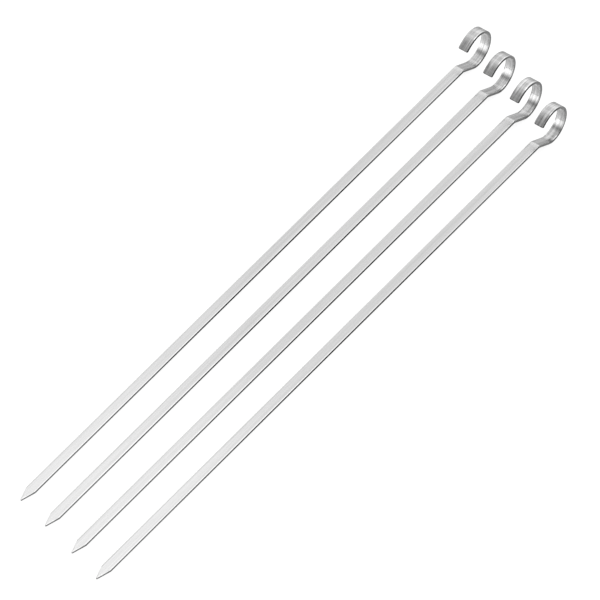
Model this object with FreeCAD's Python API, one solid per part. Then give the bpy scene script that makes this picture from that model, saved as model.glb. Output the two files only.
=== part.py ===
import FreeCAD, Part
import os
from math import asin, atan2, cos, degrees, hypot, radians, sin

# A set of four loose flat kebab skewers of stainless strip, lying side by side on a table.
# Each skewer is one strip: a point, a straight shaft, a neck bent downwards, a heel and an open ring.
# X runs along the skewers from the points to the rings, Z is up, and Z = 0 is the table.
# The origin is on the table, under the middle of the whole row.
# Sizes are in millimetres and angles in degrees.

# The strip that a skewer is made from
strip_width = 6.5
strip_thickness = 1.5
edge_rounding = 0.15

# The point: two straight cuts that run into a small round nose, and two facets ground on its upper face
point_length = 9.8
point_nose_radius = 0.4
point_shoulder_radius = 3.0
point_facet_length = 2.0
point_facet_depth = 0.25

# The straight shaft, from the nose to the bend
shaft_length = 432.2

# The neck, which drops below the shaft
bend_inside_radius = 1.3
neck_drop_angle = 28.0
neck_length = 11.5

# The tighter heel at the foot of the neck, which brings the strip back to level
heel_inside_radius = 8.5
heel_turn_angle = 30.0

# The open ring, and the flatter arm that it ends in
ring_inside_diameter = 23.1
ring_turn_angle = 201.0
arm_inside_radius = 25.0
arm_turn_angle = 16.5
arm_corner_radius = 0.8

# The row: the steps sideways between the skewers, and how far each next one is set back
outer_side_step = 24.0
middle_side_step = 25.5
set_back = 7.8

# How far a cutting shape runs past what it cuts, and the most that a rounding or facet takes of its wall
cut_overrun = 1.0
rounding_share = 0.8

# Faces or edges whose directions differ by less than this angle count as running the same way
same_way_angle = 5.0

half_width = strip_width / 2
half_thickness = strip_thickness / 2
bend_radius = bend_inside_radius + half_thickness
heel_radius = heel_inside_radius + half_thickness
ring_radius = ring_inside_diameter / 2 + half_thickness
ring_outside_radius = ring_radius + half_thickness
arm_radius = arm_inside_radius + half_thickness
side_steps = (outer_side_step, middle_side_step, outer_side_step)

# The strip's middle line in order, each piece with its length or radius, and the angle that it turns
MIDDLE_LINE = {
    "shaft": (shaft_length, 0),
    "bend": (bend_radius, -radians(neck_drop_angle)),
    "neck": (neck_length, 0),
    "heel": (heel_radius, radians(heel_turn_angle)),
    "ring": (ring_radius, radians(ring_turn_angle)),
    "arm": (arm_radius, radians(arm_turn_angle)),
}


def ahead(heading):
    """Unit vector along the strip, where it climbs at this angle."""
    return FreeCAD.Vector(cos(heading), 0, sin(heading))


def above(heading):
    """Unit vector out of the strip's upper face, where it climbs at this angle."""
    return FreeCAD.Vector(-sin(heading), 0, cos(heading))


def walk_middle_line():
    """The start, halfway point and end of each piece of the middle line, as places with headings."""
    place = FreeCAD.Vector(0, 0, half_thickness)
    heading = 0.0
    stations = {}
    for name, (size, turn) in MIDDLE_LINE.items():
        stations[name] = [(place, heading)]
        side = -1 if turn < 0 else 1
        centre = place + above(heading) * (side * size)
        for share in (0.5, 1.0):
            if turn:
                later = heading + turn * share
                stations[name].append((centre - above(later) * (side * size), later))
            else:
                stations[name].append((place + ahead(heading) * (size * share), heading))
        place, heading = stations[name][-1]
    return stations


def face_edges(stations, offset):
    """The edges of one face of the strip seen from the side, this far above its middle line."""
    edges = []
    for name, (size, turn) in MIDDLE_LINE.items():
        start, halfway, end = [place + above(heading) * offset for place, heading in stations[name]]
        curve = Part.Arc(start, halfway, end) if turn else Part.LineSegment(start, end)
        edges.append(curve.toShape())
    return edges


def end_edge(station):
    """The edge of a square end of the strip, seen from the side."""
    place, heading = station
    step = above(heading) * half_thickness
    return Part.LineSegment(place - step, place + step).toShape()


def bent_strip(stations):
    """The strip bent to shape at its full width, still square at both ends."""
    upper = face_edges(stations, half_thickness)
    lower = face_edges(stations, -half_thickness)
    front = end_edge(stations["shaft"][0])
    back = end_edge(stations["arm"][-1])
    profile = Part.Face(Part.Wire([front] + upper + [back] + lower[::-1]))
    profile.translate(FreeCAD.Vector(0, -half_width, 0))
    return profile.extrude(FreeCAD.Vector(0, strip_width, 0))


def pointed_outline(far_end):
    """The point seen from above; its two cuts flare past the strip's sides, and it runs to far_end."""
    nose_centre = FreeCAD.Vector(point_nose_radius, 0, 0)
    shoulder = FreeCAD.Vector(point_length, half_width, 0)
    reach = shoulder - nose_centre
    slant = atan2(reach.y, reach.x) - asin(point_nose_radius / reach.Length)
    touch = nose_centre + FreeCAD.Vector(-sin(slant), cos(slant), 0) * point_nose_radius
    flare = shoulder + FreeCAD.Vector(cos(slant), sin(slant), 0) * (cut_overrun / sin(slant))
    corner = FreeCAD.Vector(far_end, flare.y, 0)
    one_side = [touch, flare, corner]
    other_side = [FreeCAD.Vector(place.x, -place.y, 0) for place in one_side]
    loop = one_side + other_side[::-1]
    edges = [Part.Arc(loop[-1], FreeCAD.Vector(0, 0, 0), loop[0]).toShape()]
    for start, end in zip(loop, loop[1:]):
        edges.append(Part.LineSegment(start, end).toShape())
    return Part.Face(Part.Wire(edges))


def cut_to_point(strip):
    """The strip with its front end cut to the point."""
    box = strip.BoundBox
    blank = pointed_outline(box.XMax + cut_overrun)
    blank.translate(FreeCAD.Vector(0, 0, box.ZMin - cut_overrun))
    blank = blank.extrude(FreeCAD.Vector(0, 0, box.ZLength + 2 * cut_overrun))
    return strip.common(blank).Solids[0]


def nearest_edge(solid, place, direction):
    """The straight edge in this direction whose middle lies nearest to a place."""
    along = []
    for edge in solid.Edges:
        if isinstance(edge.Curve, Part.Line):
            turned_away = edge.Curve.Direction.cross(direction).Length
            if turned_away < sin(radians(same_way_angle)):
                along.append(edge)
    return min(along, key=lambda edge: (edge.CenterOfMass - place).Length)


def rounded_corners(solid, middle, heading, radius):
    """The solid with the two corners of its outline on either side of a place rounded."""
    corners = []
    for side in (-1, 1):
        place = middle + FreeCAD.Vector(0, side * half_width, 0)
        corners.append(nearest_edge(solid, place, above(heading)))
    return solid.makeFillet(radius, corners).Solids[0]


def is_sharp(solid, edge):
    """Whether the two faces at an edge meet in a corner."""
    middle = edge.valueAt((edge.FirstParameter + edge.LastParameter) / 2)
    normals = []
    for face in solid.ancestorsOfType(edge, Part.Face):
        normals.append(face.normalAt(*face.Surface.parameter(middle)))
    return normals[0].getAngle(normals[-1]) > radians(same_way_angle)


def rounded_edges(solid):
    """The solid with every edge of its two broad faces rounded."""
    radius = min(edge_rounding, half_thickness * rounding_share, point_nose_radius * rounding_share)
    sharp = [edge for edge in solid.Edges if is_sharp(solid, edge)]
    return solid.makeFillet(radius, sharp).Solids[0]


def ground_point(solid):
    """The solid with two facets ground on its point, from the shoulders to a ridge that drops to the nose."""
    depth = min(point_facet_depth, strip_thickness * rounding_share)
    ridge = FreeCAD.Vector(point_facet_length, 0, strip_thickness)
    nose = FreeCAD.Vector(0, 0, strip_thickness - depth)
    reach = point_length + cut_overrun
    for side in (-1, 1):
        shoulder = FreeCAD.Vector(point_length, side * half_width, strip_thickness)
        normal = (shoulder - ridge).cross(nose - ridge) * side
        corner = FreeCAD.Vector(-reach, -reach, 0)
        block = Part.makeBox(2 * reach, 2 * reach, strip_thickness + cut_overrun, corner)
        block.Placement = FreeCAD.Placement(ridge, FreeCAD.Rotation(FreeCAD.Vector(0, 0, 1), normal))
        solid = solid.cut(block)
    return solid.Solids[0]


def bend_centre(stations, name):
    """The middle of an upward bend, with the shaft lying level."""
    place, heading = stations[name][0]
    return place + above(heading) * MIDDLE_LINE[name][0]


def touching_bend(stations):
    """The bend that lies on the table: the heel if it brings the strip back to level, or else the ring."""
    heel_end_heading = stations["heel"][-1][1]
    return "heel" if heel_end_heading > 0 else "ring"


def resting_tilt(stations):
    """How far the shaft climbs when the nose and the underside of the heel or ring touch the table."""
    name = touching_bend(stations)
    centre = bend_centre(stations, name)
    outside_radius = MIDDLE_LINE[name][0] + half_thickness
    return asin(outside_radius / hypot(centre.x, centre.z)) - atan2(centre.z, centre.x)


def resting_length(stations):
    """The skewer's length along the table, from the nose to the far side of the ring."""
    centre = bend_centre(stations, "ring")
    tilt = resting_tilt(stations)
    return centre.x * cos(tilt) - centre.z * sin(tilt) + ring_outside_radius


def make_skewer(stations):
    """One skewer as it rests on the table, with its nose over the origin."""
    solid = cut_to_point(bent_strip(stations))
    shoulder = FreeCAD.Vector(point_length, 0, half_thickness)
    solid = rounded_corners(solid, shoulder, 0, point_shoulder_radius)
    arm_end, arm_heading = stations["arm"][-1]
    corner_radius = min(arm_corner_radius, half_width * rounding_share)
    solid = rounded_corners(solid, arm_end, arm_heading, corner_radius)
    solid = rounded_edges(solid)
    solid = ground_point(solid)
    tilt = resting_tilt(stations)
    solid.rotate(FreeCAD.Vector(0, 0, 0), FreeCAD.Vector(0, 1, 0), -degrees(tilt))
    return solid


def row_places(stations):
    """Where each nose lies, with the origin under the middle of the row."""
    row_set_back = set_back * len(side_steps)
    first = FreeCAD.Vector((row_set_back - resting_length(stations)) / 2, sum(side_steps) / 2, 0)
    places = [first]
    for side_step in side_steps:
        places.append(places[-1] - FreeCAD.Vector(set_back, side_step, 0))
    return places


middle_line = walk_middle_line()
one_skewer = make_skewer(middle_line)
os.makedirs("parts", exist_ok=True)
for number, nose_place in enumerate(row_places(middle_line), start=1):
    skewer = one_skewer.copy()
    skewer.translate(nose_place)
    skewer.exportStep("parts/skewer_%d.step" % number)
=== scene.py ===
"""Four flat kebab skewers of stainless strip, lying side by side on a white studio table."""

from collections import namedtuple
from math import asin, atan2, copysign, cos, hypot, pi, radians, sin, tan

import bmesh
import bpy
from bpy.props import FloatProperty, FloatVectorProperty, IntProperty, PointerProperty
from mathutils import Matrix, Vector


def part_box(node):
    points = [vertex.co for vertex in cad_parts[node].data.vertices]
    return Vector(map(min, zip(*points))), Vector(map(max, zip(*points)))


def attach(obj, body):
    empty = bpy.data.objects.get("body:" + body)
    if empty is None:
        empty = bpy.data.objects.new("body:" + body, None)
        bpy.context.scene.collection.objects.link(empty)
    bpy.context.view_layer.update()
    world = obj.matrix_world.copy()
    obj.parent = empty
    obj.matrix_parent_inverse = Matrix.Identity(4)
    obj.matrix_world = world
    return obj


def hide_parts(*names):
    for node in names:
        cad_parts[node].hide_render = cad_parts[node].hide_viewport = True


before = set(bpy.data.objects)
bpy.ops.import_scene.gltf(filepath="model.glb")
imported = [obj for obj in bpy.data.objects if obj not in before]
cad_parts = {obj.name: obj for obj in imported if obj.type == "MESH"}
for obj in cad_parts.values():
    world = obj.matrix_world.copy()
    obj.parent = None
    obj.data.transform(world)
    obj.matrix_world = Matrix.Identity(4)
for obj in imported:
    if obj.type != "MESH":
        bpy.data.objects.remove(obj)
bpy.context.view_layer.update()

bl_info = {
    "name": "Flat Kebab Skewers",
    "version": (1, 0, 0),
    "blender": (4, 5, 0),
    "location": "View3D > Sidebar > Skewers",
    "description": "Builds four flat kebab skewers of stainless strip, and a studio round them",
    "category": "Add Mesh",
}

# A skewer is built with its shaft lying level, its nose over the origin and its ring towards +X.
# It is then tilted on to its heel, copied, and moved on to each solid that it stands for.
SKEWER_NODES = sorted(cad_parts)
STRIP_MAP = "along_strip"

# The material slots of the duller steels; the face steel is in slot 0 and goes everywhere else
EDGE_SLOT = 1
FACET_SLOT = 2

# How far the blank runs past the cuts that make the point, and what counts as the same place
CUT_OVERRUN = 0.001
SAME_PLACE = 1e-7

# The least share of a face's normal that points one way: for a face that looks mostly that way, and
# for one that looks exactly that way
FACING = 0.7
SAME_WAY = 0.9999

# The sheared steel takes the walls of the strip and their rounding: every face whose normal points
# out of the upper face by more than the first share and by less than the second
SHEARED_LEAN = (-0.99, 0.9)

# Edges that are sharper than this are rounded, and the bevel's profile is a quarter circle
ROUNDED_FROM = radians(40)
ROUND_PROFILE = 0.5

# The weighting at which large faces alone decide how the corners round them are shaded
LARGE_FACES_ONLY = 100

# Noise keeps mostly between these values
NOISE_RANGE = (0.3, 0.7)

# One run of the strip's middle line, straight if its turn is 0 and else bent round its centre
Run = namedtuple("Run", "start heading size turn centre")
MiddleLine = namedtuple("MiddleLine", "shaft bend neck heel ring arm")


class SkewerSizes(bpy.types.PropertyGroup):
    """The sizes of one skewer, and how finely its curves are divided."""

    strip_width: FloatProperty(
        name="Strip width", description="Width of the flat strip",
        default=0.0065, min=0.002, precision=4, unit="LENGTH")
    strip_thickness: FloatProperty(
        name="Strip thickness", description="Thickness of the flat strip",
        default=0.0015, min=0.0006, precision=4, unit="LENGTH")
    edge_rounding: FloatProperty(
        name="Edge rounding", description="Radius that is worn on the edges of the two broad faces",
        default=0.00015, min=0.00002, precision=5, unit="LENGTH")
    point_length: FloatProperty(
        name="Point length", description="How far behind the nose the strip has its full width",
        default=0.0098, min=0.003, precision=4, unit="LENGTH")
    point_nose_radius: FloatProperty(
        name="Nose radius", description="Radius of the blunted tip, seen from above",
        default=0.0004, min=0.0002, precision=5, unit="LENGTH")
    point_shoulder_radius: FloatProperty(
        name="Shoulder radius", description="Radius where the point runs into the strip's sides",
        default=0.003, min=0.0005, precision=4, unit="LENGTH")
    point_facet_length: FloatProperty(
        name="Facet length", description="How far behind the nose the two ground facets meet",
        default=0.002, min=0.0005, precision=4, unit="LENGTH")
    point_facet_depth: FloatProperty(
        name="Facet depth", description="How much of the thickness is ground away at the nose",
        default=0.00025, min=0.00005, precision=5, unit="LENGTH")
    shaft_length: FloatProperty(
        name="Shaft length", description="From the nose to the bend of the neck",
        default=0.4322, min=0.1, precision=4, unit="LENGTH")
    bend_inside_radius: FloatProperty(
        name="Bend inside radius", description="Inside radius of the bend between shaft and neck",
        default=0.0013, min=0.0005, precision=4, unit="LENGTH")
    neck_drop_angle: FloatProperty(
        name="Neck drop", description="How steeply the neck drops below the shaft",
        default=radians(28), min=radians(5), max=radians(80), unit="ROTATION")
    neck_length: FloatProperty(
        name="Neck length", description="The straight neck between the bend and the heel",
        default=0.0115, min=0.001, precision=4, unit="LENGTH")
    heel_inside_radius: FloatProperty(
        name="Heel inside radius", description="Inside radius of the heel at the foot of the neck",
        default=0.0085, min=0.003, precision=4, unit="LENGTH")
    heel_turn_angle: FloatProperty(
        name="Heel turn", description="How far the heel turns the strip back up",
        default=radians(30), min=radians(5), max=radians(80), unit="ROTATION")
    ring_inside_diameter: FloatProperty(
        name="Ring inside diameter", description="Inside diameter of the open ring",
        default=0.0231, min=0.01, precision=4, unit="LENGTH")
    ring_turn_angle: FloatProperty(
        name="Ring turn", description="How far the ring turns before it flattens into the arm",
        default=radians(201), min=radians(90), max=radians(260), unit="ROTATION")
    arm_inside_radius: FloatProperty(
        name="Arm inside radius", description="Inside radius of the flatter arm that ends the ring",
        default=0.025, min=0.01, precision=4, unit="LENGTH")
    arm_turn_angle: FloatProperty(
        name="Arm turn", description="How far the arm turns before its square end",
        default=radians(16.5), min=radians(5), max=radians(60), unit="ROTATION")
    arm_corner_radius: FloatProperty(
        name="Arm corner radius", description="Radius of the two corners at the end of the arm",
        default=0.0008, min=0.0002, precision=5, unit="LENGTH")
    ring_steps: IntProperty(
        name="Ring steps", description="Steps that the ring is bent in",
        default=67, min=16, max=400)
    heel_steps: IntProperty(
        name="Heel steps", description="Steps that the heel is bent in",
        default=12, min=3, max=100)
    arm_steps: IntProperty(
        name="Arm steps", description="Steps that the arm is bent in",
        default=8, min=4, max=100)
    bend_steps: IntProperty(
        name="Bend steps", description="Steps that the bend of the neck is made in",
        default=10, min=4, max=60)
    nose_steps: IntProperty(
        name="Nose steps", description="Cuts that the round nose is made of",
        default=10, min=4, max=40)
    corner_steps: IntProperty(
        name="Corner steps", description="Steps in each rounded corner of the outline",
        default=8, min=3, max=30)
    edge_steps: IntProperty(
        name="Edge steps", description="Steps in the rounding of each edge",
        default=4, min=2, max=10)


class SteelFinish(bpy.types.PropertyGroup):
    """The finish of the strip: bright rolled faces, duller sheared edges with painted shade on them,
    and ground facets.
    """

    face_colour: FloatVectorProperty(
        name="Face colour", description="Colour of the rolled and brushed faces",
        default=(0.66, 0.66, 0.66), size=3, min=0, max=1, subtype="COLOR")
    # The edge colour is painted shade: the sheared edges are coloured nearly black for the dark that
    # they reflect
    painted_shade_edge_colour: FloatVectorProperty(
        name="Edge colour", description="Colour of the sheared edges",
        default=(0.05, 0.05, 0.05), size=3, min=0, max=1, subtype="COLOR")
    # Paler painted shade for the sheared edges where they catch more light: round the ring and at the
    # front
    paler_shade_edge_colour: FloatVectorProperty(
        name="Paler edge shade colour", description="Paler painted shade of the edges round the ring and at the front",
        default=(0.42, 0.42, 0.42), size=3, min=0, max=1, subtype="COLOR")
    ground_colour: FloatVectorProperty(
        name="Ground facet colour", description="Colour of the freshly ground facets of the point",
        default=(0.74, 0.74, 0.74), size=3, min=0, max=1, subtype="COLOR")
    face_roughness: FloatProperty(
        name="Face roughness", description="Mean roughness of the faces",
        default=0.2, min=0, max=1, subtype="FACTOR")
    edge_roughness: FloatProperty(
        name="Edge roughness", description="Mean roughness of the sheared edges",
        default=0.5, min=0, max=1, subtype="FACTOR")
    streaking: FloatProperty(
        name="Streaking", description="How strongly the rolling streaks colour the faces",
        default=0.12, min=0, max=1, subtype="FACTOR")


class StudioLook(bpy.types.PropertyGroup):
    """The camera, the white table and the lamp."""

    aim: FloatVectorProperty(
        name="Aim", description="Point on the table that the camera looks at",
        default=(0.00991, 0.00304, 0), size=3, precision=5, subtype="XYZ", unit="LENGTH")
    heading: FloatProperty(
        name="Camera heading", description="Direction that the camera looks in, from +X to +Y",
        default=radians(36.83), unit="ROTATION")
    elevation: FloatProperty(
        name="Camera elevation", description="How steeply the camera looks down",
        default=radians(46.488), unit="ROTATION")
    distance: FloatProperty(
        name="Camera distance", description="From the camera to its aim",
        default=12, min=1, unit="LENGTH")
    lens: FloatProperty(
        name="Lens", description="Focal length in millimetres",
        default=1214.2, min=50, max=1700)
    table_size: FloatProperty(
        name="Table size", description="Side of the white table top",
        default=40, min=5, unit="LENGTH")
    lamp_place: FloatVectorProperty(
        name="Lamp place", description="Middle of the soft lamp that hangs over the table",
        default=(0.43, 0.55, 1.0), size=3, subtype="XYZ", unit="LENGTH")
    lamp_width: FloatProperty(
        name="Lamp width", description="Size of the soft lamp along the skewers",
        default=0.36, min=0.05, unit="LENGTH")
    lamp_length: FloatProperty(
        name="Lamp length", description="Size of the soft lamp across the skewers",
        default=2.4, min=0.05, unit="LENGTH")
    lamp_level: FloatProperty(
        name="Lamp power", description="Power of the soft lamp",
        default=0.9, min=0, unit="POWER")


def ahead(heading):
    """The way along the strip, where it climbs at this angle."""
    return Vector((cos(heading), 0, sin(heading)))


def above(heading):
    """The way out of the strip's upper face, where it climbs at this angle."""
    return Vector((-sin(heading), 0, cos(heading)))


def middle_line(sizes):
    """The strip's middle line, run by run, and the place where it ends."""
    half_thickness = sizes.strip_thickness / 2
    shapes = (
        (sizes.shaft_length, 0),
        (sizes.bend_inside_radius + half_thickness, -sizes.neck_drop_angle),
        (sizes.neck_length, 0),
        (sizes.heel_inside_radius + half_thickness, sizes.heel_turn_angle),
        (sizes.ring_inside_diameter / 2 + half_thickness, sizes.ring_turn_angle),
        (sizes.arm_inside_radius + half_thickness, sizes.arm_turn_angle),
    )
    place, heading = Vector((0, 0, half_thickness)), 0.0
    runs = []
    for size, turn in shapes:
        centre = place + above(heading) * copysign(size, turn)
        runs.append(Run(place, heading, size, turn, centre))
        if turn:
            heading += turn
            place = centre - above(heading) * copysign(size, turn)
        else:
            place = place + ahead(heading) * size
    return MiddleLine(*runs), place


def run_length(run):
    """The length of one run of the middle line."""
    return run.size * abs(run.turn) if run.turn else run.size


def along_run(run, corner):
    """How far along a run the place nearest to a corner is, and how far the corner is from it."""
    if not run.turn:
        travel = min(max((corner - run.start).dot(ahead(run.heading)), 0), run.size)
        return travel, (corner - run.start - ahead(run.heading) * travel).length
    side = copysign(1, run.turn)
    spoke = corner - run.centre
    outwards = above(run.heading) * -side
    turned = atan2(spoke.dot(ahead(run.heading)), spoke.dot(outwards)) % (2 * pi)
    # A corner that lies just before the bend has an angle of nearly a full turn
    if turned > abs(run.turn) / 2 + pi:
        turned = 0
    turned = min(turned, abs(run.turn))
    nearest = run.centre - above(run.heading + side * turned) * side * run.size
    return run.size * turned, (corner - nearest).length


def along_strip(runs, corner):
    """How far along the strip a corner of its mesh lies, and how steeply the strip climbs there."""
    corner = Vector((corner.x, 0, corner.z))
    passed, found = 0, []
    for run in runs:
        travel, gap = along_run(run, corner)
        turned = copysign(travel / run.size, run.turn) if run.turn else 0
        found.append((gap, passed + travel, run.heading + turned))
        passed += run_length(run)
    return min(found)[1:]


def deselect_everything():
    """Leaves nothing selected, because loading the frame leaves its solids selected."""
    bpy.ops.object.select_all(action="DESELECT")


def select_only(piece):
    """Selects one piece alone and makes it the active one."""
    deselect_everything()
    piece.select_set(True)
    bpy.context.view_layer.objects.active = piece


def apply_place():
    """Moves the place, turn and scale of the selected piece into its mesh."""
    bpy.ops.object.transform_apply(location=True, rotation=True, scale=True)


def pick(skewer, kind, wanted):
    """Selects just the wanted faces or edges of the mesh in edit mode, and counts them."""
    bpy.ops.mesh.select_mode(type="FACE" if kind == "faces" else "EDGE")
    bpy.ops.mesh.select_all(action="DESELECT")
    mesh = bmesh.from_edit_mesh(skewer.data)
    mesh.normal_update()
    count = 0
    for part in getattr(mesh, kind):
        if wanted(part):
            part.select_set(True)
            count += 1
    bmesh.update_edit_mesh(skewer.data)
    return count


def expect(count, wanted, what):
    """Stops the script when a step didn't find what it works on."""
    if count != wanted:
        raise RuntimeError("%s: found %d, expected %d" % (what, count, wanted))


def give_steel(skewer, slot):
    """Gives the selected faces the steel in one of the material slots."""
    skewer.active_material_index = slot
    bpy.ops.object.material_slot_assign()


def add_blank(sizes):
    """Adds the flat blank of the shaft, with enough ahead of the nose to cut the point from it."""
    length = sizes.shaft_length + sizes.point_length + CUT_OVERRUN
    deselect_everything()
    bpy.ops.mesh.primitive_cube_add(
        size=1,
        location=(sizes.shaft_length - length / 2, 0, sizes.strip_thickness / 2),
        scale=(length, sizes.strip_width, sizes.strip_thickness))
    apply_place()
    return bpy.context.object


def bend_strip(run, steps):
    """Carries the selected end of the strip round one bend."""
    bpy.ops.mesh.spin(
        steps=steps, angle=run.turn, center=run.centre, axis=(0, 1, 0), use_auto_merge=False)


def shape_strip(skewer, sizes, runs):
    """Draws the blank out into the bent strip, still square at both ends."""
    bpy.ops.object.mode_set(mode="EDIT")
    found = pick(skewer, "faces", lambda face: face.normal.x > FACING)
    expect(found, 1, "end of the shaft")
    bend_strip(runs.bend, sizes.bend_steps)
    bpy.ops.mesh.extrude_region_move(
        TRANSFORM_OT_translate={"value": ahead(runs.neck.heading) * runs.neck.size})
    bend_strip(runs.heel, sizes.heel_steps)
    bend_strip(runs.ring, sizes.ring_steps)
    bend_strip(runs.arm, sizes.arm_steps)
    bpy.ops.mesh.select_all(action="SELECT")
    bpy.ops.mesh.remove_doubles(threshold=SAME_PLACE)
    bpy.ops.mesh.normals_make_consistent(inside=False)


def cut_away(place, outwards):
    """Cuts away all that lies beyond a place, and closes the cut."""
    bpy.ops.mesh.select_all(action="SELECT")
    bpy.ops.mesh.bisect(
        plane_co=place, plane_no=outwards,
        use_fill=True, clear_outer=True, threshold=SAME_PLACE)


def cut_point(sizes):
    """Cuts the point, from one side round the nose to the other, and returns its slant."""
    nose_centre = Vector((sizes.point_nose_radius, 0, 0))
    reach = Vector((sizes.point_length, sizes.strip_width / 2, 0)) - nose_centre
    slant = atan2(reach.y, reach.x) - asin(sizes.point_nose_radius / reach.length)
    furthest = pi / 2 - slant
    for step in range(sizes.nose_steps + 1):
        lean = furthest * (2 * step / sizes.nose_steps - 1)
        outwards = Vector((-cos(lean), sin(lean), 0))
        cut_away(nose_centre + outwards * sizes.point_nose_radius, outwards)
    return slant


def pick_corners(skewer, close, distance):
    """Selects the edges through the strip's thickness whose middles lie close, and counts them."""

    def wanted(edge):
        first, last = (vert.co for vert in edge.verts)
        return abs(first.y - last.y) < close and distance((first + last) / 2) < close

    return pick(skewer, "edges", wanted)


def round_corners(sizes, radius, interior):
    """Rounds the selected corner edges to a radius, where the walls meet at this inside angle."""
    bpy.ops.mesh.bevel(
        offset_type="OFFSET", offset=radius / tan(interior / 2), segments=sizes.corner_steps,
        profile=ROUND_PROFILE, affect="EDGES", clamp_overlap=False)


def round_outline(skewer, sizes, slant, arm_end):
    """Rounds the shoulders and the corners of the arm, in the outline of the strip."""
    close = sizes.strip_thickness / 4
    found = pick_corners(
        skewer, close,
        lambda middle: hypot(middle.x - sizes.point_length, abs(middle.y) - sizes.strip_width / 2))
    expect(found, 2, "edges of the shoulders")
    round_corners(sizes, sizes.point_shoulder_radius, pi - slant)
    found = pick_corners(
        skewer, close,
        lambda middle: hypot(middle.x - arm_end.x, middle.z - arm_end.z))
    expect(found, 2, "corners of the arm")
    round_corners(sizes, sizes.arm_corner_radius, pi / 2)


def round_edges(skewer, sizes):
    """Rounds the edges of both broad faces."""
    bpy.ops.object.mode_set(mode="OBJECT")
    rounding = skewer.modifiers.new("Rounded edges", "BEVEL")
    rounding.width = sizes.edge_rounding
    rounding.segments = sizes.edge_steps
    rounding.limit_method = "ANGLE"
    rounding.angle_limit = ROUNDED_FROM
    rounding.use_clamp_overlap = False
    bpy.ops.object.modifier_apply(modifier=rounding.name)


def paint_edges(skewer, runs):
    """Gives the walls and ends of the strip their sheared steel, and the rounding under them."""
    lowest, highest = SHEARED_LEAN

    def is_sheared(face):
        heading = along_strip(runs, face.calc_center_median())[1]
        return lowest < face.normal.dot(above(heading)) < highest

    bpy.ops.object.mode_set(mode="EDIT")
    pick(skewer, "faces", is_sheared)
    give_steel(skewer, EDGE_SLOT)


def grind_facets(skewer, sizes):
    """Grinds the two facets on top of the point, which meet in a ridge that drops to the nose."""
    ridge = Vector((sizes.point_facet_length, 0, sizes.strip_thickness))
    nose = Vector((0, 0, sizes.strip_thickness - sizes.point_facet_depth))
    bpy.ops.object.mode_set(mode="EDIT")
    for side in (-1, 1):
        shoulder = Vector((sizes.point_length, side * sizes.strip_width / 2, sizes.strip_thickness))
        outwards = (side * (shoulder - ridge).cross(nose - ridge)).normalized()
        cut_away(ridge, outwards)
        found = pick(skewer, "faces", lambda face: face.normal.dot(outwards) > SAME_WAY)
        expect(found, 1, "facets on one side of the point")
        give_steel(skewer, FACET_SLOT)
        bpy.ops.mesh.region_to_loop()
        bpy.ops.mesh.mark_sharp()


def shade_strip(skewer):
    """Shades the curves smooth, the flat faces flat and the ground facets crisp."""
    bpy.ops.object.mode_set(mode="OBJECT")
    bpy.ops.object.shade_smooth(keep_sharp_edges=True)
    shading = skewer.modifiers.new("Flat faces stay flat", "WEIGHTED_NORMAL")
    shading.weight = LARGE_FACES_ONLY
    shading.keep_sharp = True
    bpy.ops.object.modifier_apply(modifier=shading.name)


def map_strip(skewer, runs):
    """Gives the mesh a map that runs across the strip in U and along it in V, in metres."""
    mesh = skewer.data
    while mesh.uv_layers:
        mesh.uv_layers.remove(mesh.uv_layers[0])
    layer = mesh.uv_layers.new(name=STRIP_MAP)
    places = [(vert.co.y, along_strip(runs, vert.co)[0]) for vert in mesh.vertices]
    for loop in mesh.loops:
        layer.uv[loop.index].vector = places[loop.vertex_index]


def rest_on_table(skewer, runs, sizes):
    """Tilts the skewer until its nose and its heel touch the table, or its ring for a slight heel."""
    touching = runs.heel if runs.ring.heading > 0 else runs.ring
    outside = touching.size + sizes.strip_thickness / 2
    reach = hypot(touching.centre.x, touching.centre.z)
    tilt = asin(outside / reach) - atan2(touching.centre.z, touching.centre.x)
    skewer.rotation_euler = (0, -tilt, 0)
    apply_place()


def copy_of(skewer):
    """A copy of a skewer, with its own mesh."""
    select_only(skewer)
    bpy.ops.object.duplicate(linked=False)
    return bpy.context.object


def lowest_corner(skewer):
    """The lowest corner of the box round a skewer's mesh."""
    corners = [vert.co for vert in skewer.data.vertices]
    return Vector([min(corner[axis] for corner in corners) for axis in range(3)])


def move_on_to(skewer, node):
    """Moves a skewer's mesh on to the solid that it stands for."""
    select_only(skewer)
    skewer.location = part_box(node)[0] - lowest_corner(skewer)
    apply_place()


def add_node(tree, kind, inputs=None, **settings):
    """Adds a node, with each input set to a number or colour, or joined to another's output."""
    node = tree.nodes.new(kind)
    for name, value in settings.items():
        setattr(node, name, value)
    for name, value in (inputs or {}).items():
        if isinstance(value, bpy.types.NodeSocket):
            tree.links.new(value, node.inputs[name])
        else:
            node.inputs[name].default_value = value
    return node


def new_material(name):
    """An empty node material, and its nodes."""
    material = bpy.data.materials.new(name)
    material.use_nodes = True
    material.node_tree.nodes.clear()
    return material, material.node_tree


def show(tree, shader, kind="ShaderNodeOutputMaterial"):
    """Ends the nodes of a material or a world with the shader that it shows."""
    add_node(tree, kind, {"Surface": shader.outputs[0]})


def calculate(tree, operation, *values):
    """The output of a Math node over these values."""
    return add_node(tree, "ShaderNodeMath", dict(enumerate(values)), operation=operation).outputs[0]


def plus(tree, first, second):
    """The sum of two values."""
    return calculate(tree, "ADD", first, second)


def times(tree, first, second):
    """The product of two values."""
    return calculate(tree, "MULTIPLY", first, second)


def rest_of(tree, share):
    """What a share leaves of the whole."""
    return calculate(tree, "SUBTRACT", 1.0, share)


def plus_share(tree, value, other, share):
    """A value with a share of another value added to it."""
    return plus(tree, value, times(tree, other, share))


def object_place(tree):
    """The shaded place in the object's own coordinates."""
    return add_node(tree, "ShaderNodeTexCoord").outputs["Object"]


def place_on_strip(tree):
    """Where on the strip the shaded place lies: across from its middle, and along, in metres."""
    strip_map = add_node(tree, "ShaderNodeUVMap", uv_map=STRIP_MAP)
    parts = add_node(tree, "ShaderNodeSeparateXYZ", {"Vector": strip_map.outputs[0]})
    return parts.outputs["X"], parts.outputs["Y"]


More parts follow.
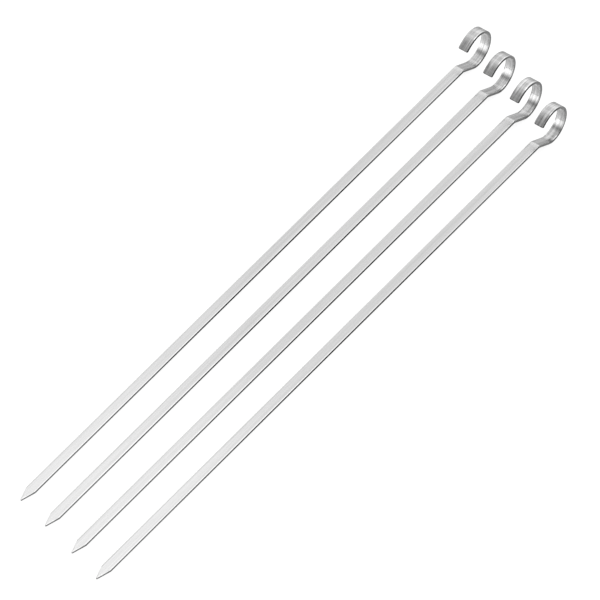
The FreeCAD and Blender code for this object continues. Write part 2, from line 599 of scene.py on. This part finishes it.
def pattern(tree, coordinates, across, along, detail=3.0, seed=0.0):
    """Noise drawn out along the strip, with so many features to the metre across and along."""
    mapping = add_node(
        tree, "ShaderNodeMapping",
        {"Vector": coordinates, "Scale": (along, across, along), "Location": (seed, seed, seed)})
    noise = add_node(
        tree, "ShaderNodeTexNoise",
        {"Vector": mapping.outputs[0], "Scale": 1.0, "Detail": detail, "Roughness": 0.55})
    return noise.outputs["Fac"]


def spread(tree, noise, low, high):
    """Noise carried over to run from low to high."""
    remap = add_node(tree, "ShaderNodeMapRange", {
        "Value": noise, "From Min": NOISE_RANGE[0], "From Max": NOISE_RANGE[1],
        "To Min": low, "To Max": high})
    return remap.outputs[0]


def between(tree, value, start, stop):
    """A mask that grows from nothing at start to full at stop."""
    ramp = add_node(
        tree, "ShaderNodeMapRange", {"Value": value, "From Min": start, "From Max": stop})
    return ramp.outputs[0]


def soft_step(tree, value, start, stop):
    """A smooth mask that grows from nothing at start to full at stop."""
    step = add_node(
        tree, "ShaderNodeMapRange", {"Value": value, "From Min": start, "From Max": stop},
        interpolation_type="SMOOTHSTEP")
    return step.outputs[0]


def level_ramp(tree, value, stops, brightest=1):
    """A level that follows a list of values with their levels, eased from each one to the next."""
    low, high = stops[0][0], stops[-1][0]
    ramp = add_node(tree, "ShaderNodeValToRGB", {"Fac": between(tree, value, low, high)})
    ramp.color_ramp.interpolation = "EASE"
    elements = ramp.color_ramp.elements
    while len(elements) > 1:
        elements.remove(elements[-1])
    for number, (at, level) in enumerate(stops):
        place = (at - low) / (high - low)
        element = elements.new(place) if number else elements[0]
        element.position = place
        element.color = [level / brightest] * 3 + [1]
    return ramp.outputs["Color"]


def mix_colours(tree, share, first, second):
    """Two colours mixed by a share. A Mix node's sockets 6 and 7 and its output 2 hold colours."""
    mix = add_node(tree, "ShaderNodeMix", {0: share, 6: first, 7: second}, data_type="RGBA")
    return mix.outputs[2]


def shaded(tree, colour, level):
    """A colour made lighter or darker by a level that changes over the surface."""
    fixed = colour if isinstance(colour, bpy.types.NodeSocket) else colour[:]
    tone = add_node(tree, "ShaderNodeVectorMath", {0: fixed, "Scale": level}, operation="SCALE")
    return tone.outputs[0]


def relief(tree, height, strength, distance, **under):
    """The normal of a surface with this relief, which lies on another relief if one is named."""
    bump = add_node(
        tree, "ShaderNodeBump",
        {"Height": height, "Strength": strength, "Distance": distance, **under})
    return bump.outputs[0]


# How much shade is painted on the faces, by how far past the bend of the neck it lies, in metres
PAINTED_FACE_SHADE = (
    (0, 0), (0.011, 0), (0.0125, 0.1), (0.0145, 0.32), (0.0158, 0.16), (0.017, 0), (0.0187, 0.13),
    (0.02, 0), (0.0436, 0), (0.0452, 0.14), (0.0466, 0), (0.0536, 0), (0.0549, 0.14),
    (0.0562, 0.1), (0.0575, 0), (0.059, 0), (0.0605, 0.2), (0.062, 0.3), (0.0634, 0.28),
    (0.065, 0.04), (0.0671, 0.04), (0.0677, 0.5), (0.07, 0.5),
)

# How much paler the painted shade on the sheared edges is made, by how far past the bend they lie
PALER_EDGE_SHADE = (
    (0, 0.3), (0.0012, 0.65), (0.011, 0.65), (0.0155, 0.4), (0.024, 0.35), (0.029, 1),
    (0.0475, 1), (0.055, 0.2), (0.07, 0.1),
)

# The paler painted shade round the ring grows from nothing to full between these distances before the
# bend
PALER_EDGE_SHADE_STARTS = (0.12, 0.05)

# The painted shade on the edges at the front of the shaft is made paler too, from nothing at the
# first of these places behind the nose to this share at the second
FRONT_PALER_EDGE_SHADE = (0.2, 0.05)
FRONT_PALER_EDGE_SHADE_SHARE = 0.45

# The die worked the faces past the bend, and fully from this far past it
WORKED_FULLY = 0.0015

# Two painted highlights across the faces: one on the line of the bend, and one on the upper ring.
# Each grows between its first two places past the bend, and fades between its last two.
BEND_HIGHLIGHT = (-0.002, -0.0005, 0.0008, 0.0022)
BEND_HIGHLIGHT_LEVEL = 0.14
UPPER_RING_HIGHLIGHT = (0.0375, 0.0396, 0.0438, 0.0452)
UPPER_RING_HIGHLIGHT_LEVEL = 0.46

# How much lighter or darker each kind of streak makes the worked part
DRAWN_STREAKS = 0.18
FINGER_STREAKS = 0.13
LINE_STREAKS = 0.14

# The noise of the scratches counts as a scratch from the first value, and fully from the second
SCRATCHED = (0.7, 0.76)
SCRATCH_LEVEL = -0.06

# The painted shade on the faces beside the near side of the strip: where it fades out and where
# it is full, from that side in metres, and how much light it takes
NEAR_SIDE_FACE_SHADE = (0.00032, 0.0002)
NEAR_SIDE_FACE_SHADE_DARKENING = 0.8

# How polishing wore the faces lower near their sides: from and to this far from the side, this deep
ROLL_OFF = (0.00075, 0.0002)
ROLL_OFF_DEPTH = 0.00016


def highlight_on_faces(tree, along, bend_at, places):
    """A mask for one painted highlight across the faces, by its four places past the bend."""
    start, full, fading, stop = (bend_at + place for place in places)
    return times(tree, between(tree, along, start, full), between(tree, along, stop, fading))


def painted_face_shade(tree, along, bend_at):
    """How much shade is painted on the faces here."""
    past_bend = calculate(tree, "SUBTRACT", along, bend_at)
    return level_ramp(tree, past_bend, PAINTED_FACE_SHADE)


def paler_edge_shade(tree, along, bend_at):
    """How much paler the painted shade on the sheared edge is here: most at the ring, and a little in
    front.
    """
    past_bend = calculate(tree, "SUBTRACT", along, bend_at)
    first, full = (bend_at - place for place in PALER_EDGE_SHADE_STARTS)
    by_ring = times(
        tree, level_ramp(tree, past_bend, PALER_EDGE_SHADE), between(tree, along, first, full))
    in_front = times(tree, between(tree, along, *FRONT_PALER_EDGE_SHADE), FRONT_PALER_EDGE_SHADE_SHARE)
    return plus(tree, by_ring, in_front)


def near_side_face_shade(tree, across, along, sizes):
    """The painted shade on the faces beside the near side of the strip, less where the edge shade is
    paler.
    """
    fades, full = (place - sizes.strip_width / 2 for place in NEAR_SIDE_FACE_SHADE)
    full_edge_shade_share = rest_of(tree, paler_edge_shade(tree, along, sizes.shaft_length))
    return times(tree, between(tree, across, fades, full), full_edge_shade_share)


def edge_roll_off(tree, across, sizes):
    """The height of the faces near the sides of the strip, where polishing wore them lower."""
    starts, ends = (sizes.strip_width / 2 - place for place in ROLL_OFF)
    worn = between(tree, calculate(tree, "ABSOLUTE", across), starts, ends)
    return times(tree, worn, -ROLL_OFF_DEPTH)


def face_steel(finish, sizes):
    """The broad faces: bright rolled steel with fine streaks, worked where the die bent it, with
    painted shade.
    """
    material, tree = new_material("Bright rolled steel")
    coordinates = object_place(tree)
    across, along = place_on_strip(tree)
    bend_at = sizes.shaft_length
    streaks = pattern(tree, coordinates, across=700, along=4)
    lines = pattern(tree, coordinates, across=2400, along=14, detail=2.0, seed=3.7)
    clouds = pattern(tree, coordinates, across=60, along=25, detail=4.0, seed=9.1)
    fingers = pattern(tree, coordinates, across=1500, along=90, detail=2.0, seed=6.4)
    drawn = pattern(tree, coordinates, across=900, along=50, detail=1.0, seed=2.2)
    scratches = pattern(tree, coordinates, across=2600, along=130, detail=0.0, seed=5.3)
    scratched = between(tree, scratches, *SCRATCHED)
    worked = between(tree, along, bend_at, bend_at + WORKED_FULLY)
    bend_highlight = highlight_on_faces(tree, along, bend_at, BEND_HIGHLIGHT)
    upper_ring_highlight = highlight_on_faces(tree, along, bend_at, UPPER_RING_HIGHLIGHT)

    half = finish.streaking / 2
    level = plus(
        tree, spread(tree, streaks, 1 - half, 1 + half), spread(tree, lines, -half / 2, half / 2))
    level = plus_share(tree, level, scratched, SCRATCH_LEVEL)
    # Painted shade in bands along the bent part, broken up by the drawn streaks
    level = plus_share(tree, level, painted_face_shade(tree, along, bend_at), spread(tree, drawn, -1.5, -0.5))
    for grain, share in ((drawn, DRAWN_STREAKS), (fingers, FINGER_STREAKS), (lines, LINE_STREAKS)):
        level = plus_share(tree, level, worked, spread(tree, grain, -share, share))
    # Painted highlights on the line of the bend and on the upper ring
    level = plus_share(tree, level, bend_highlight, BEND_HIGHLIGHT_LEVEL)
    level = plus_share(tree, level, upper_ring_highlight, UPPER_RING_HIGHLIGHT_LEVEL)
    # Painted shade on the faces beside the near side of the strip
    near_face_shade = near_side_face_shade(tree, across, along, sizes)
    level = times(tree, level, rest_of(tree, times(tree, near_face_shade, NEAR_SIDE_FACE_SHADE_DARKENING)))

    mean = finish.face_roughness
    roughness = plus(
        tree, spread(tree, streaks, -0.04, 0.04), spread(tree, clouds, mean - 0.03, mean + 0.03))

    height = plus_share(tree, streaks, lines, 0.3)
    height = plus_share(tree, height, worked, times(tree, fingers, 5.0))
    height = plus_share(tree, height, scratched, -0.3)
    rolled_off = relief(tree, edge_roll_off(tree, across, sizes), strength=1.0, distance=1.0)
    normal = relief(tree, height, strength=0.25, distance=0.00003, Normal=rolled_off)
    tangent = add_node(tree, "ShaderNodeTangent", direction_type="UV_MAP", uv_map=STRIP_MAP)
    show(tree, add_node(tree, "ShaderNodeBsdfPrincipled", {
        "Base Color": shaded(tree, finish.face_colour, level),
        "Metallic": 1.0,
        "Roughness": roughness,
        "Anisotropic": 0.8,
        "Specular Tint": (0.9, 0.9, 0.9, 1),
        "Normal": normal,
        "Tangent": tangent.outputs[0],
    }))
    return material


def edge_steel(finish, sizes):
    """The sheared edges: dull steel with fine marks through it, painted dark as shade, paler round
    the ring.
    """
    material, tree = new_material("Sheared steel edge")
    coordinates = object_place(tree)
    along = place_on_strip(tree)[1]
    # The edges are painted dark as shade, and paler where they catch more light round the ring and at
    # the front
    colour = mix_colours(
        tree, paler_edge_shade(tree, along, sizes.shaft_length),
        (*finish.painted_shade_edge_colour, 1), (*finish.paler_shade_edge_colour, 1))
    marks = pattern(tree, coordinates, across=900, along=2400, detail=2.0)
    patches = pattern(tree, coordinates, across=80, along=80, seed=2.9)
    level = plus(tree, spread(tree, marks, 0.9, 1.1), spread(tree, patches, -0.12, 0.12))
    mean = finish.edge_roughness
    roughness = plus(
        tree, spread(tree, marks, -0.08, 0.08), spread(tree, patches, mean - 0.05, mean + 0.05))
    show(tree, add_node(tree, "ShaderNodeBsdfPrincipled", {
        "Base Color": shaded(tree, colour, level),
        "Metallic": 1.0,
        "Roughness": roughness,
        "Specular Tint": (0.5, 0.5, 0.5, 1),
        "Normal": relief(tree, marks, strength=0.3, distance=0.00003),
    }))
    return material


def ground_steel(finish):
    """The two facets of the point: freshly ground steel with fine marks across the cut."""
    material, tree = new_material("Ground steel facet")
    coordinates = object_place(tree)
    marks = pattern(tree, coordinates, across=500, along=3200, detail=2.0, seed=1.3)
    clouds = pattern(tree, coordinates, across=300, along=300, seed=7.7)
    level = plus(tree, spread(tree, marks, 0.94, 1.06), spread(tree, clouds, -0.03, 0.03))
    show(tree, add_node(tree, "ShaderNodeBsdfPrincipled", {
        "Base Color": shaded(tree, finish.ground_colour, level),
        "Metallic": 1.0,
        "Roughness": spread(tree, marks, 0.3, 0.4),
        "Normal": relief(tree, marks, strength=0.2, distance=0.00002),
    }))
    return material


def make_skewer(sizes, finish):
    """One skewer as it rests on a table, with its nose over the origin."""
    runs, arm_end = middle_line(sizes)
    skewer = add_blank(sizes)
    shape_strip(skewer, sizes, runs)
    slant = cut_point(sizes)
    round_outline(skewer, sizes, slant, arm_end)
    for steel in (face_steel(finish, sizes), edge_steel(finish, sizes), ground_steel(finish)):
        skewer.data.materials.append(steel)
    round_edges(skewer, sizes)
    paint_edges(skewer, runs)
    grind_facets(skewer, sizes)
    shade_strip(skewer)
    map_strip(skewer, runs)
    rest_on_table(skewer, runs, sizes)
    return skewer


class OBJECT_OT_build_kebab_skewers(bpy.types.Operator):
    """Builds one skewer, and lays a copy of it on each skewer of the frame"""

    bl_idname = "object.build_kebab_skewers"
    bl_label = "Build kebab skewers"
    bl_options = {"REGISTER", "UNDO"}

    def execute(self, context):
        first = make_skewer(context.scene.skewer_sizes, context.scene.steel_finish)
        # All the copies are made first, before any of them is moved on to its solid
        skewers = [first] + [copy_of(first) for _ in SKEWER_NODES[1:]]
        for skewer, node in zip(skewers, SKEWER_NODES):
            skewer.name = node + "_strip"
            skewer.data.name = skewer.name
            move_on_to(skewer, node)
            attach(skewer, node)
            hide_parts(node)
        return {"FINISHED"}


# Light levels of the studio as the table sees it, by the angle in degrees above the +X horizon,
# over the top to -X. Long soft lights run across the skewers, with a dark gap between two of them.
STUDIO_LEVELS = (
    (-180, 0.76), (-12, 0.78), (0, 0.81), (10, 0.88), (20, 1.02), (30, 1.12), (40, 1.0), (50, 0.99),
    (62, 0.93), (70, 0.66), (84, 0.52), (94, 0.84), (102, 0.88), (110, 0.64), (117, 0.49),
    (123, 0.38), (129, 0.4), (136, 0.6), (142, 0.9), (149, 1.18), (156, 1.55), (172, 1.6),
    (180, 1.55),
)
BRIGHTEST = 1.6

# Where a direction from the table leads is told by its X and Y, as masks that grow from the first
# value of a pair to the second. The lights reach their full level on the far side of the row, and
# on the near side they keep to this share of the brightest.
FAR_SIDE_Y = (-0.06, 0.2)
NEAR_SIDE_SHARE = 0.55

# A white wall stands on the near side, towards the rings, from its top to its foot in Y
WALL_TOP_Y = (0.12, -0.05)
WALL_FOOT_Y = (-0.7, -0.45)
WALL_X = (-0.1, 0.15)
WHITE = (1, 1, 1, 1)

# The matt tone of the table top, and how many grains it has to the metre
TABLE_TONE = (0.34, 0.36)
TABLE_GRAIN = 300.0

# What the table top adds for the camera, which so sees it as white, and for mirrored rays: they see
# it paler where it is less far along the row than the first place, and palest from the second
CAMERA_GLOW = 0.78
MIRRORED_GLOW = 0.26
PALER_GLOW = 0.46
PALER_FROM = (0.248, 0.168)

# How far the row leans towards the rings, for every metre towards +Y
ROW_SLANT = 0.318


def studio_world():
    """A pale studio round the table for the steel and the table, and plain white for the camera."""
    world = bpy.data.worlds.new("White studio")
    world.use_nodes = True
    tree = world.node_tree
    tree.nodes.clear()
    direction = add_node(tree, "ShaderNodeTexCoord").outputs["Generated"]
    parts = add_node(tree, "ShaderNodeSeparateXYZ", {"Vector": direction})
    x, y, z = parts.outputs
    angle = calculate(tree, "DEGREES", calculate(tree, "ARCTAN2", z, x))
    bands = level_ramp(tree, angle, STUDIO_LEVELS, BRIGHTEST)
    far_side = times(tree, soft_step(tree, y, *FAR_SIDE_Y), 1 - NEAR_SIDE_SHARE)
    bands = calculate(tree, "MINIMUM", bands, plus(tree, far_side, NEAR_SIDE_SHARE))
    wall = times(tree, soft_step(tree, y, *WALL_TOP_Y), soft_step(tree, x, *WALL_X))
    wall = times(tree, wall, soft_step(tree, y, *WALL_FOOT_Y))
    dome = add_node(
        tree, "ShaderNodeBackground",
        {"Color": mix_colours(tree, wall, bands, WHITE), "Strength": BRIGHTEST})
    white = add_node(tree, "ShaderNodeBackground", {"Color": WHITE, "Strength": 1.0})
    rays = add_node(tree, "ShaderNodeLightPath")
    seen = calculate(
        tree, "MAXIMUM", rays.outputs["Is Camera Ray"], rays.outputs["Is Transmission Ray"])
    mix = add_node(
        tree, "ShaderNodeMixShader", {0: seen, 1: dome.outputs[0], 2: white.outputs[0]})
    show(tree, mix, "ShaderNodeOutputWorld")
    return world


def table_white():
    """A matt table top, which the camera sees as white and the steel as a soft pale grey."""
    material, tree = new_material("White table top")
    coordinates = object_place(tree)
    grain = add_node(tree, "ShaderNodeTexNoise", {"Vector": coordinates, "Scale": TABLE_GRAIN})
    tone = add_node(tree, "ShaderNodeMapRange", {
        "Value": grain.outputs["Fac"], "To Min": TABLE_TONE[0], "To Max": TABLE_TONE[1]})
    matt = add_node(tree, "ShaderNodeBsdfDiffuse", {"Color": tone.outputs[0]})
    rays = add_node(tree, "ShaderNodeLightPath")
    mirrored = calculate(
        tree, "MAXIMUM", rays.outputs["Is Glossy Ray"], rays.outputs["Is Transmission Ray"])
    x, y, _ = add_node(tree, "ShaderNodeSeparateXYZ", {"Vector": coordinates}).outputs
    along_row = calculate(tree, "SUBTRACT", x, times(tree, y, ROW_SLANT))
    paler = times(tree, soft_step(tree, along_row, *PALER_FROM), PALER_GLOW)
    strength = plus_share(
        tree, times(tree, rays.outputs["Is Camera Ray"], CAMERA_GLOW),
        mirrored, plus(tree, paler, MIRRORED_GLOW))
    glow = add_node(tree, "ShaderNodeEmission", {"Color": WHITE, "Strength": strength})
    show(tree, add_node(tree, "ShaderNodeAddShader", {0: matt.outputs[0], 1: glow.outputs[0]}))
    return material


def add_table(look):
    """Adds the table top, which isn't part of the skewers."""
    deselect_everything()
    bpy.ops.mesh.primitive_plane_add(size=look.table_size, location=(0, 0, 0))
    table = bpy.context.object
    table.name = "table_top"
    table.data.materials.append(table_white())


def add_lamp(look):
    """Adds the soft lamp, which the camera doesn't see."""
    bpy.ops.object.light_add(type="AREA", location=look.lamp_place)
    lamp = bpy.context.object
    lamp.name = "soft_lamp"
    lamp.data.shape = "RECTANGLE"
    lamp.data.size = look.lamp_width
    lamp.data.size_y = look.lamp_length
    lamp.data.energy = look.lamp_level
    lamp.visible_camera = False


def add_camera(look):
    """Adds the camera at the photograph's viewing angle, and returns it."""
    line = Vector((cos(look.elevation) * cos(look.heading),
                   cos(look.elevation) * sin(look.heading),
                   -sin(look.elevation)))
    bpy.ops.object.camera_add(
        location=Vector(look.aim) - line * look.distance,
        rotation=(pi / 2 - look.elevation, 0, look.heading - pi / 2))
    camera = bpy.context.object
    camera.name = "photo_camera"
    camera.data.lens = look.lens
    camera.data.clip_end = 2 * look.distance
    return camera


class SCENE_OT_set_up_studio(bpy.types.Operator):
    """Sets up the white table, the soft light and the camera"""

    bl_idname = "scene.set_up_studio"
    bl_label = "Set up studio"
    bl_options = {"REGISTER", "UNDO"}

    def execute(self, context):
        scene, look = context.scene, context.scene.studio_look
        scene.view_settings.view_transform = "Standard"
        scene.world = studio_world()
        add_table(look)
        add_lamp(look)
        scene.camera = add_camera(look)
        deselect_everything()
        return {"FINISHED"}


class VIEW3D_PT_kebab_skewers(bpy.types.Panel):
    """The sizes, the finish and the steps of the skewers"""

    bl_idname = "VIEW3D_PT_kebab_skewers"
    bl_label = "Kebab skewers"
    bl_space_type = "VIEW_3D"
    bl_region_type = "UI"
    bl_category = "Skewers"

    def draw(self, context):
        scene = context.scene
        for groups, operator in (
                ((scene.skewer_sizes, scene.steel_finish), OBJECT_OT_build_kebab_skewers),
                ((scene.studio_look,), SCENE_OT_set_up_studio)):
            box = self.layout.box()
            for group in groups:
                for name in group.bl_rna.properties.keys():
                    if name not in ("rna_type", "name"):
                        box.prop(group, name)
            box.operator(operator.bl_idname)


CLASSES = (
    SkewerSizes, SteelFinish, StudioLook,
    OBJECT_OT_build_kebab_skewers, SCENE_OT_set_up_studio, VIEW3D_PT_kebab_skewers,
)


def register():
    """Adds the classes and their settings to Blender."""
    for cls in CLASSES:
        bpy.utils.register_class(cls)
    bpy.types.Scene.skewer_sizes = PointerProperty(type=SkewerSizes)
    bpy.types.Scene.steel_finish = PointerProperty(type=SteelFinish)
    bpy.types.Scene.studio_look = PointerProperty(type=StudioLook)


def unregister():
    """Takes them away again."""
    del bpy.types.Scene.studio_look
    del bpy.types.Scene.steel_finish
    del bpy.types.Scene.skewer_sizes
    for cls in reversed(CLASSES):
        bpy.utils.unregister_class(cls)


def main():
    """Builds the skewers and the studio."""
    register()
    bpy.ops.object.build_kebab_skewers()
    bpy.ops.scene.set_up_studio()


if __name__ == "__main__":
    main()
